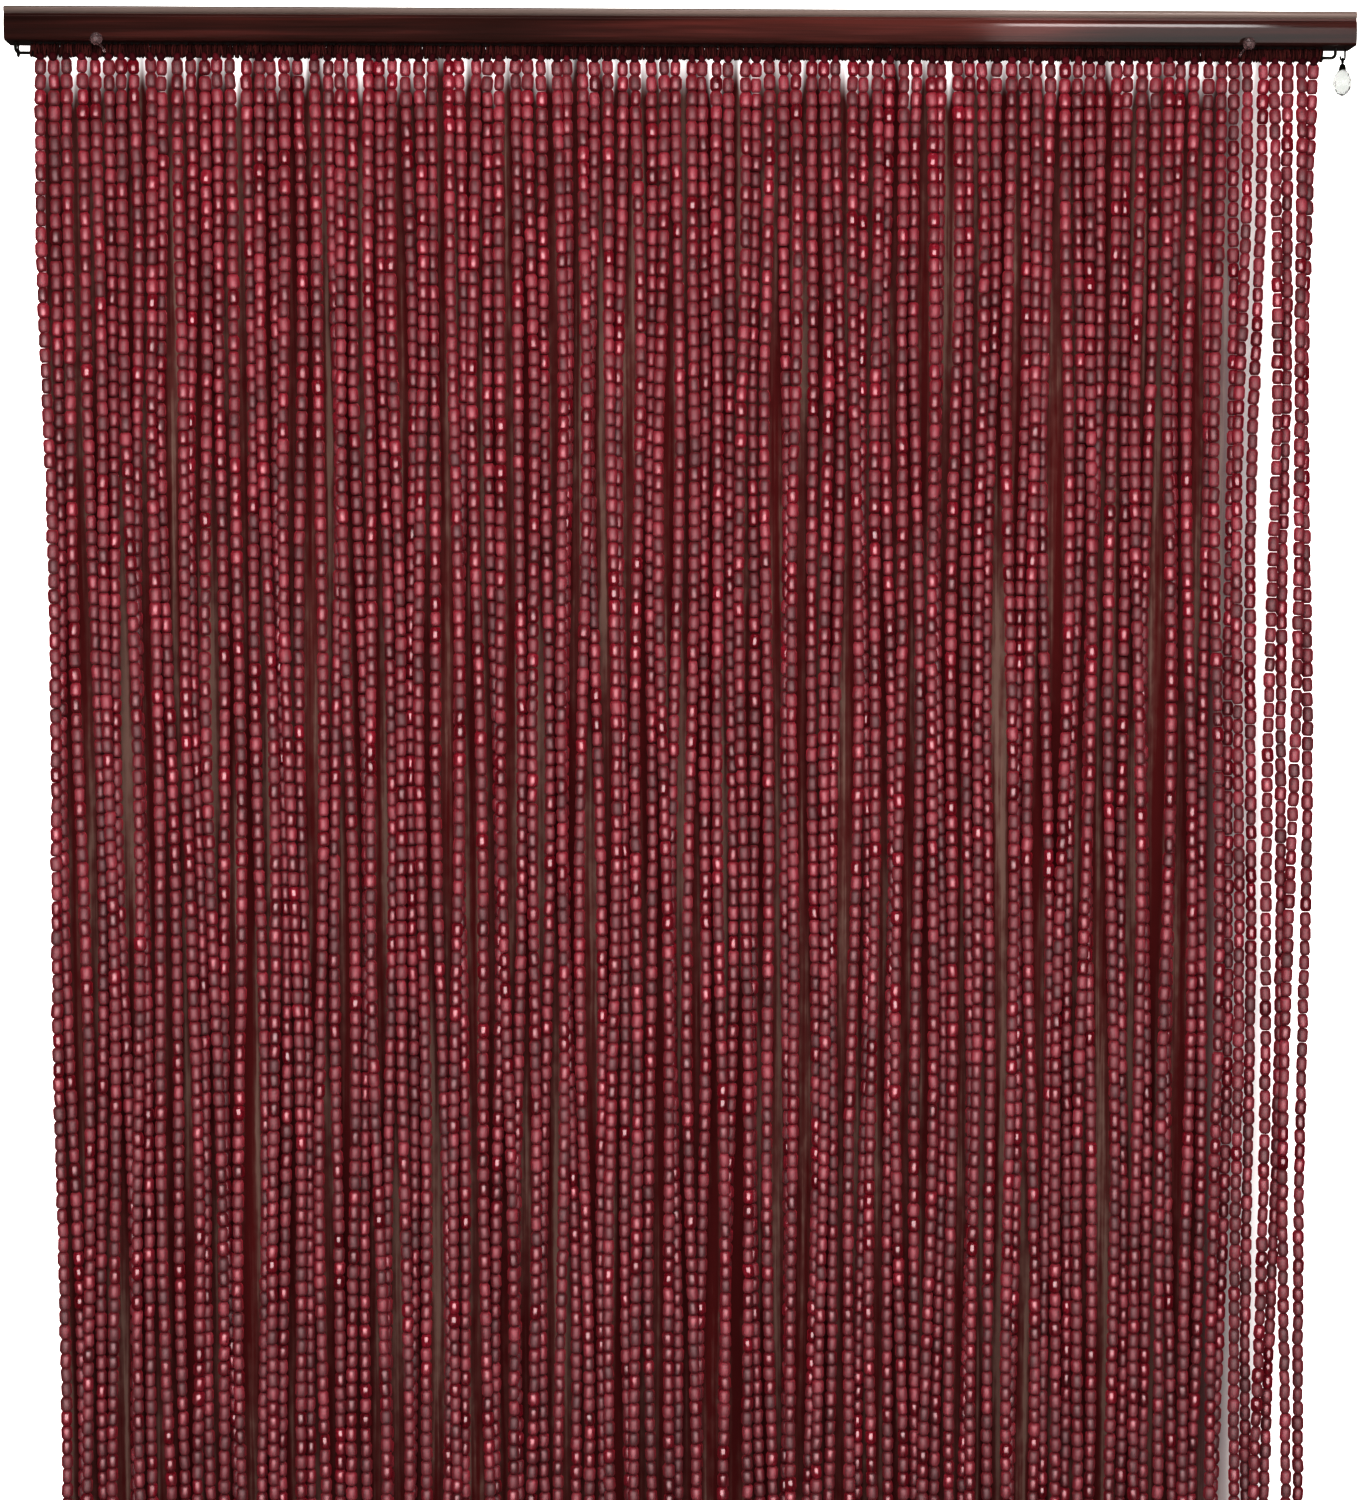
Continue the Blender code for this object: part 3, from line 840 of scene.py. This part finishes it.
class CURTAIN_OT_wire(bpy.types.Operator):
    """Build the wire and the screw eyes that hold it"""

    bl_idname = "bead_curtain.wire"
    bl_label = "Wire and Screw Eyes"

    def execute(self, context):
        steel = drawn_steel(settings_of(context).fittings)
        radius = (WIRE_HIGH.z - WIRE_LOW.z) / 2
        left, right = WIRE_LOW.x + radius, WIRE_HIGH.x - radius
        in_rail, bend_height = RAIL_LOW.z + 0.002, WIRE_CENTRE.z + WIRE_BEND
        route = [(left, in_rail)] + arc((left + WIRE_BEND, bend_height), WIRE_BEND, 180, 270, 8)
        route += arc((right - WIRE_BEND, bend_height), WIRE_BEND, 270, 360, 8) + [(right, in_rail)]
        points = [(x, WIRE_CENTRE.y, z) for x, z in route]
        mesh = tube_mesh("wire", points, radius, 16)
        hang_piece("wire", mesh, steel, "rail", "steel", "wire_rod")
        for node in EYE_NODES:
            self.build_eye(node, steel)
        return {"FINISHED"}

    def build_eye(self, node, steel):
        """One screw eye: a ring of wire and a threaded shank that runs up into the rail."""
        low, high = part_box(node)
        middle = Vector(((low.x + high.x) / 2, WIRE_CENTRE.y, WIRE_CENTRE.z))
        loop = ring_mesh(node + "_loop", EYE_RING_RADIUS, EYE_STOCK)
        tip = high.z - middle.z
        foot = EYE_RING_RADIUS - EYE_STOCK * 0.3
        point, pitch = 0.0004, 0.0006
        profile = [(0.0, tip), (EYE_STOCK * 0.9, tip)]
        for ridge in range(4):
            height = tip - point - ridge * pitch
            profile += [(EYE_STOCK * 1.25, height), (EYE_STOCK * 0.85, height - pitch / 2)]
        profile += [(EYE_STOCK, EYE_RING_RADIUS + EYE_STOCK * 0.5), (EYE_STOCK, foot), (0.0, foot)]
        shank = turned_mesh(node + "_shank", profile, 12, 60.0)
        name = "eye_" + node[-1]
        mesh = joined_mesh(name, [loop, shank], middle)
        hang_piece(name, mesh, steel, "rail", "steel", node)


def strand_habit(number):
    """What is particular to one strand: its place on the wire, its waves and its length."""
    chance = random.Random(HABIT_SEED + number)
    side = 1 if number % 2 else -1
    return {
        "spread": SPREAD * chance.uniform(-1, 1),
        "long_phase": chance.random(),
        "short_phase": chance.random(),
        "depth": side * (STAGGER + STAGGER_SCATTER * chance.uniform(-1, 1)),
        "end": STRAND_END + END_SCATTER * chance.uniform(-1, 1),
        "first_bead": chance.uniform(-0.0008, 0.0010),
    }


def strand_centre(number, habit, z):
    """The middle of a strand at a height."""
    group, place = divmod(number, STRANDS_PER_GROUP)
    x = (group + 0.5 - len(GROUP_NODES) / 2) * GROUP_PITCH + CURTAIN_SHIFT
    x += (place - (STRANDS_PER_GROUP - 1) / 2) * STRAND_PITCH
    fallen = HEADING_BOTTOM - z
    settled = min(1.0, fallen / SETTLE)
    loose = min(1.0, max(0.0, fallen - SETTLE) / LOOSEN)
    sway = SWAY * (NEAR_SWAY * settled + (1 - NEAR_SWAY) * loose)
    long_wave = math.sin(2 * math.pi * (fallen / LONG_WAVE + habit["long_phase"]))
    short_wave = math.sin(2 * math.pi * (fallen / SHORT_WAVE + habit["short_phase"]))
    x += habit["spread"] + sway * (0.6 * long_wave + 0.4 * short_wave)
    y = WIRE_CENTRE.y + settled * habit["depth"]
    return Vector((x, y, z))


class CURTAIN_OT_strands(bpy.types.Operator):
    """String the beads, one piece for each group of strands"""

    bl_idname = "bead_curtain.strands"
    bl_label = "Bead Strands"

    def execute(self, context):
        settings = settings_of(context).strands
        lacquer = lacquered_beads(settings)
        tree = bead_string_nodes()
        half = settings.length / 2
        for group, node in enumerate(GROUP_NODES):
            lines = []
            for place in range(STRANDS_PER_GROUP):
                number = group * STRANDS_PER_GROUP + place
                habit = strand_habit(number)
                top = HEADING_BOTTOM - habit["first_bead"] - half
                fall = habit["end"] + half - top
                heights = [top + fall * step / LINE_STEPS for step in range(LINE_STEPS + 1)]
                lines.append([strand_centre(number, habit, z) for z in heights])
            name = "beads_" + node[-2:]
            mesh = run_nodes(name, line_mesh(name, lines), tree, {
                "Bead Spacing": settings.spacing, "Bead Length": settings.length,
                "Bead Diameter": settings.diameter, "Shoulder": settings.shoulder,
                "Rim": settings.rim, "Tilt": settings.tilt, "Wander": settings.wander,
                "Seed": GROUP_SEED_STEP * group, "Material": lacquer})
            hang_piece(name, mesh, lacquer, "rail", "bead_wood", node)
        return {"FINISHED"}


class CURTAIN_OT_threads(bpy.types.Operator):
    """Tie the strands to the wire with turns of thread"""

    bl_idname = "bead_curtain.threads"
    bl_label = "Tying Thread"

    def execute(self, context):
        settings = settings_of(context).threads
        # The thread is darkened as painted shade under the rail.
        thread = twisted_thread("thread_in_painted_shade", settings.colour)
        tree = whipping_nodes()
        under_rail, over_beads = 0.0004, 0.0006
        top = RAIL_LOW.z - under_rail
        bottom = HEADING_BOTTOM + over_beads
        middle = (top + bottom) / 2
        lines = []
        for node in GROUP_NODES:
            low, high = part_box(node)
            lines.append([(low.x, WIRE_CENTRE.y, middle), (high.x, WIRE_CENTRE.y, middle)])
        mesh = run_nodes("thread_turns", line_mesh("thread_turns", lines), tree, {
            "Turn Spacing": settings.turn_spacing, "Turn Height": top - bottom,
            "Turn Depth": 0.0046, "Thickness": settings.thickness, "Lean": math.radians(9.0),
            "Seed": 5, "Material": thread})
        hang_piece("thread_turns", mesh, thread, "rail", "bead_wood")
        self.tie_knots(settings)
        return {"FINISHED"}

    def tie_knots(self, settings):
        """A red knot at the head of each strand, before the turns round the wire, its red darkened as
        painted shade under the rail.
        """
        bm = bmesh.new()
        in_front = Vector((0.0, -0.0022, 0.0008))
        for number in range(STRANDS_PER_GROUP * len(GROUP_NODES)):
            head = strand_centre(number, strand_habit(number), HEADING_BOTTOM)
            bm.verts.new(head + in_front)
        points = plain_mesh("thread_knots", bm)
        red = twisted_thread("red_thread", settings.knot_painted_shade_colour)
        mesh = run_nodes("thread_knots", points, knot_nodes(), {
            "Knot Height": 0.0058, "Knot Width": 0.0056, "Lean": math.radians(20.0),
            "Seed": 11, "Material": red})
        hang_piece("thread_knots", mesh, red, "rail", "bead_wood")


class CURTAIN_OT_clips(bpy.types.Operator):
    """Build the clear clips on the rail's lower edge"""

    bl_idname = "bead_curtain.clips"
    bl_label = "Clear Clips"

    def execute(self, context):
        clear = clear_resin("clip_resin", settings_of(context).fittings.clip, 0.85, 0.15, 1.45)
        for node in ("clip_left", "clip_right"):
            low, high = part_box(node)
            radius = (high.x - low.x) / 2
            inward = 1.0 if low.x < 0 else -1.0
            outer_x = low.x if inward > 0 else high.x
            knob = Vector((outer_x + inward * CLIP_KNOB_RADIUS, RAIL_LOW.y - CLIP_FORWARD, RAIL_LOW.z))
            profile = [(0.0, radius)]
            profile += [(radius * math.sin(a), radius * math.cos(a)) for a in (0.35, 0.8, 1.25, 1.57)]
            profile += [(radius * 0.92, -radius * 0.4), (radius * 0.6, -radius * 0.8), (0.0, -radius)]
            head = turned_mesh(node + "_head", profile, 10, 15.0)
            head.transform(Matrix.Rotation(math.pi / 2, 4, "X"))
            below = -CLIP_ARM_RADIUS - 0.0006
            route = [
                (0.0, 0.0, below * 1.6), (0.0, 0.0065, below * 1.3),
                (inward * 0.0008, 0.0105, below * 1.4), (inward * 0.0022, 0.0125, below * 2.6),
                (inward * 0.0036, 0.0128, below * 4.6)]
            arm = tube_mesh(node + "_arm", route, CLIP_ARM_RADIUS, 10)
            mesh = joined_mesh(node + "_resin", [head, arm], knob)
            mesh.shade_smooth()
            mesh.set_sharp_from_angle(angle=math.radians(15.0))
            hang_piece(node + "_resin", mesh, clear, "rail", "clear", node)
        return {"FINISHED"}


class CURTAIN_OT_drop(bpy.types.Operator):
    """Build the clear drop with its cap and hook"""

    bl_idname = "bead_curtain.drop"
    bl_label = "Drop, Cap and Hook"

    def execute(self, context):
        settings = settings_of(context).fittings
        bronze = dark_bronze(settings)
        self.build_hook(bronze)
        self.build_cap(bronze)
        self.build_crystal(clear_resin("drop_resin", settings.clear, 1.0, 0.02, 1.40))
        return {"FINISHED"}

    def build_hook(self, bronze):
        """The wire hook, its shank and bend smooth."""
        low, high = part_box("drop_hook")
        bend = (high.x - low.x) / 2 - HOOK_STOCK
        centre = ((low.x + high.x) / 2, PIVOT.z + bend)
        points = [(high.x - HOOK_STOCK, PIVOT.y, high.z)]
        points += [(x, PIVOT.y, z) for x, z in arc(centre, bend, 0, -180, 16)]
        points += [(low.x + HOOK_STOCK, PIVOT.y, PIVOT.z + bend + 0.0010)]
        mesh = tube_mesh("hook", points, HOOK_STOCK, 12)
        hang_piece("hook", mesh, bronze, "rail", "dark_metal", "drop_hook")

    def build_cap(self, bronze):
        """The bell cap and the ring that it hangs by."""
        low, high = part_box("drop_cap")
        ring_height = high.z - CAP_RING_RADIUS - CAP_RING_STOCK
        loop = ring_mesh("cap_loop", CAP_RING_RADIUS, CAP_RING_STOCK, ring_height, 20)
        radius = (high.x - low.x) / 2
        top = ring_height - CAP_RING_RADIUS
        fall = top - low.z
        profile = [(0.0, top), (radius * 0.35, top)]
        bell_shape = (
            (0.48, 0.06), (0.70, 0.18), (0.84, 0.34), (0.90, 0.55), (0.94, 0.74), (1.0, 0.80), (1.0, 0.92))
        profile += [(radius * share, top - fall * drop) for share, drop in bell_shape]
        profile += [(radius * 0.92, low.z), (0.0, low.z)]
        bell = turned_mesh("cap_bell", profile, 24, 40.0)
        mesh = joined_mesh("cap", [loop, bell], (PIVOT.x, PIVOT.y, 0.0))
        hang_piece("cap", mesh, bronze, "drop", "dark_metal", "drop_cap")

    def build_crystal(self, clear):
        """The faceted drop, the hull of rings of points that are turned half a step apart."""
        low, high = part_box("clear_drop")
        radius = (high.x - low.x) / 2
        length = high.z - low.z
        rings = (
            (0.0, 0.42), (0.12, 0.68), (0.28, 0.90), (0.52, 1.0), (0.74, 0.88), (0.91, 0.56), (1.0, 0.16))
        bm = bmesh.new()
        for level, (fall, share) in enumerate(rings):
            for step in range(DROP_SIDES):
                turn = 2 * math.pi * (step + 0.5 * (level % 2)) / DROP_SIDES
                bm.verts.new((
                    PIVOT.x + radius * share * math.cos(turn),
                    PIVOT.y + radius * share * math.sin(turn),
                    high.z - length * fall))
        bmesh.ops.convex_hull(bm, input=bm.verts)
        mesh = smooth_mesh("crystal", bm, 1.0)
        mesh.shade_flat()
        hang_piece("crystal", mesh, clear, "drop", "clear", "clear_drop")


def add_panel(name, place, target, size, power):
    """A soft light panel aimed at a point, hidden from the camera."""
    light = bpy.data.lights.new(name, "AREA")
    light.shape = "RECTANGLE"
    light.size, light.size_y = size
    light.energy = power
    panel = add_object(name, light)
    panel.location = place
    panel.rotation_mode = "QUATERNION"
    panel.rotation_quaternion = (Vector(target) - Vector(place)).to_track_quat("-Z", "Y")
    panel.visible_camera = False
    return panel


def light_only(panel, *names):
    """Keep a panel's light to the named pieces."""
    lit = bpy.data.collections.new(panel.name + "_lit")
    for name in names:
        lit.objects.link(bpy.data.objects[name])
    panel.light_linking.receiver_collection = lit


def add_plane(name, corners, material):
    """A flat four-cornered surface of the stage."""
    bm = bmesh.new()
    bm.faces.new([bm.verts.new(corner) for corner in corners])
    plane = add_piece(name, plain_mesh(name, bm), material)
    return plane


class CURTAIN_OT_stage(bpy.types.Operator):
    """Set the floor, the backdrop, the lights and the camera"""

    bl_idname = "bead_curtain.stage"
    bl_label = "Studio"

    def execute(self, context):
        settings = settings_of(context).stage
        self.add_surfaces(settings)
        self.add_lights(settings)
        self.add_room(context, settings)
        self.add_camera(context)
        view = context.scene.view_settings
        view.view_transform = "Standard"
        view.gamma = settings.contrast_gamma
        view.exposure = settings.exposure
        return {"FINISHED"}

    def add_surfaces(self, settings):
        """A pale floor, and a pale backdrop right behind the rail with painted shade behind the strands."""
        floor_z = CAD_BOX[0].z - settings.floor_gap
        reach = 12.0
        corners = ((-reach, -reach), (reach, -reach), (reach, reach), (-reach, reach))
        floor = [(x, y, floor_z) for x, y in corners]
        material, tree, shader, pale = pale_surface("pale_floor", (0.80, 0.79, 0.78))
        tree.links.new(pale, shader.inputs["Emission Color"])
        shader.inputs["Emission Strength"].default_value = 0.80
        self.only_seen(add_plane("floor", floor, material))
        wall_y = 0.002
        side, head = 2.5, 1.0
        wall = [(x, wall_y, z) for x, z in ((-side, floor_z), (side, floor_z), (side, head), (-side, head))]
        self.only_seen(add_plane("backdrop", wall, wall_material()))

    def only_seen(self, plane):
        """Let a surface show to the camera but throw no light, reflection or shadow on the rest."""
        plane.visible_diffuse = False
        plane.visible_glossy = False
        plane.visible_shadow = False

    def add_lights(self, settings):
        """Soft lights in front, above and behind, and panels for the gloss of beads and rail."""
        front = add_panel(
            "front_light", place=(-0.10, -1.55, 0.05), target=(0.0, 0.0, -0.30), size=(1.5, 0.9),
            power=settings.front_power)
        gloss = add_panel(
            "gloss_light", place=(-0.15, -2.05, -0.65), target=(-0.1, 0.0, -0.55), size=(3.4, 2.0),
            power=settings.gloss_power)
        add_panel(
            "high_light", place=(-0.1, -1.25, 2.2), target=(0.0, 0.0, -0.3), size=(1.6, 0.7),
            power=settings.high_power)
        back = add_panel(
            "back_light", place=(0.6, 2.6, 0.6), target=(0.0, 0.0, -0.8), size=(2.4, 1.6),
            power=settings.back_power)
        line = add_panel(
            "line_light", place=(0.700, -2.0, 0.82), target=(0.700, 0.0, 0.4), size=(0.36, 0.24),
            power=settings.line_power)
        sheen = add_panel(
            "sheen_light", place=(0.74, -2.0, 0.05), target=(0.74, 0.0, 0.05), size=(0.52, 1.30),
            power=settings.sheen_power)
        for panel in (front, back):
            panel.visible_glossy = False
        for panel in (gloss, line, sheen):
            panel.visible_diffuse = False
        light_only(gloss, *("beads_" + node[-2:] for node in GROUP_NODES))
        light_only(line, "rail")
        light_only(sheen, "rail")

    def add_room(self, context, settings):
        """Even light from all round, behind which the room itself looks nearly white."""
        world = bpy.data.worlds.new("studio")
        context.scene.world = world
        world.use_nodes = True
        tree = world.node_tree
        light = tree.nodes["Background"]
        light.inputs["Color"].default_value = (1.0, 0.985, 0.97, 1.0)
        rays = add_node(tree, "ShaderNodeLightPath").outputs
        dimmed = settings.room_light * settings.room_gloss
        mirrored = between(tree, rays["Is Glossy Ray"], settings.room_light, dimmed)
        tree.links.new(mirrored, light.inputs["Strength"])
        seen = add_node(tree, "ShaderNodeBackground", {"Color": (0.94, 0.94, 0.94, 1.0)})
        in_view = maths(tree, "MAXIMUM", rays["Is Camera Ray"], rays["Is Transmission Ray"])
        mix = add_node(
            tree, "ShaderNodeMixShader", {0: in_view, 1: light.outputs[0], 2: seen.outputs[0]})
        tree.links.new(mix.outputs[0], tree.nodes["World Output"].inputs["Surface"])

    def add_camera(self, context):
        """The photograph's view: a little left of the middle, level with the upper strands."""
        data = bpy.data.cameras.new("camera")
        data.lens = 70.88
        data.sensor_width = 36.0
        camera = add_object("camera", data)
        camera.location = (-0.0794, -2.0130, -0.3429)
        yaw, pitch, roll = math.radians(-2.159), math.radians(-4.016), math.radians(-0.123)
        turn = Matrix.Rotation(yaw, 4, "Z") @ Matrix.Rotation(math.pi / 2 + pitch, 4, "X")
        camera.rotation_mode = "QUATERNION"
        camera.rotation_quaternion = (turn @ Matrix.Rotation(roll, 4, "Z")).to_quaternion()
        context.scene.camera = camera


class CURTAIN_PT_panel(bpy.types.Panel):
    """The curtain's sizes, colours and building steps"""

    bl_idname = "CURTAIN_PT_panel"
    bl_label = "Bead Curtain"
    bl_space_type = "VIEW_3D"
    bl_region_type = "UI"
    bl_category = "Bead Curtain"

    def draw(self, context):
        settings = settings_of(context)
        for operator, part in STEPS:
            box = self.layout.box()
            box.operator(operator.bl_idname)
            group = getattr(settings, part)
            for key in group.bl_rna.properties.keys():
                if key not in ("rna_type", "name"):
                    box.prop(group, key)


STEPS = (
    (CURTAIN_OT_rail, "rail"),
    (CURTAIN_OT_wire, "fittings"),
    (CURTAIN_OT_strands, "strands"),
    (CURTAIN_OT_threads, "threads"),
    (CURTAIN_OT_clips, "fittings"),
    (CURTAIN_OT_drop, "fittings"),
    (CURTAIN_OT_stage, "stage"),
)
CLASSES = (
    RailSettings,
    StrandSettings,
    ThreadSettings,
    FittingSettings,
    StageSettings,
    CurtainSettings,
    *(operator for operator, part in STEPS),
    CURTAIN_PT_panel,
)


def register():
    """Add the classes and the scene's settings."""
    for cls in CLASSES:
        bpy.utils.register_class(cls)
    bpy.types.Scene.bead_curtain = bpy.props.PointerProperty(type=CurtainSettings)


def unregister():
    """Take the classes and the settings away again."""
    del bpy.types.Scene.bead_curtain
    for cls in reversed(CLASSES):
        bpy.utils.unregister_class(cls)


def main():
    """Build every piece in order."""
    register()
    bpy.ops.bead_curtain.rail()
    bpy.ops.bead_curtain.wire()
    bpy.ops.bead_curtain.strands()
    bpy.ops.bead_curtain.threads()
    bpy.ops.bead_curtain.clips()
    bpy.ops.bead_curtain.drop()
    bpy.ops.bead_curtain.stage()


if __name__ == "__main__":
    main()
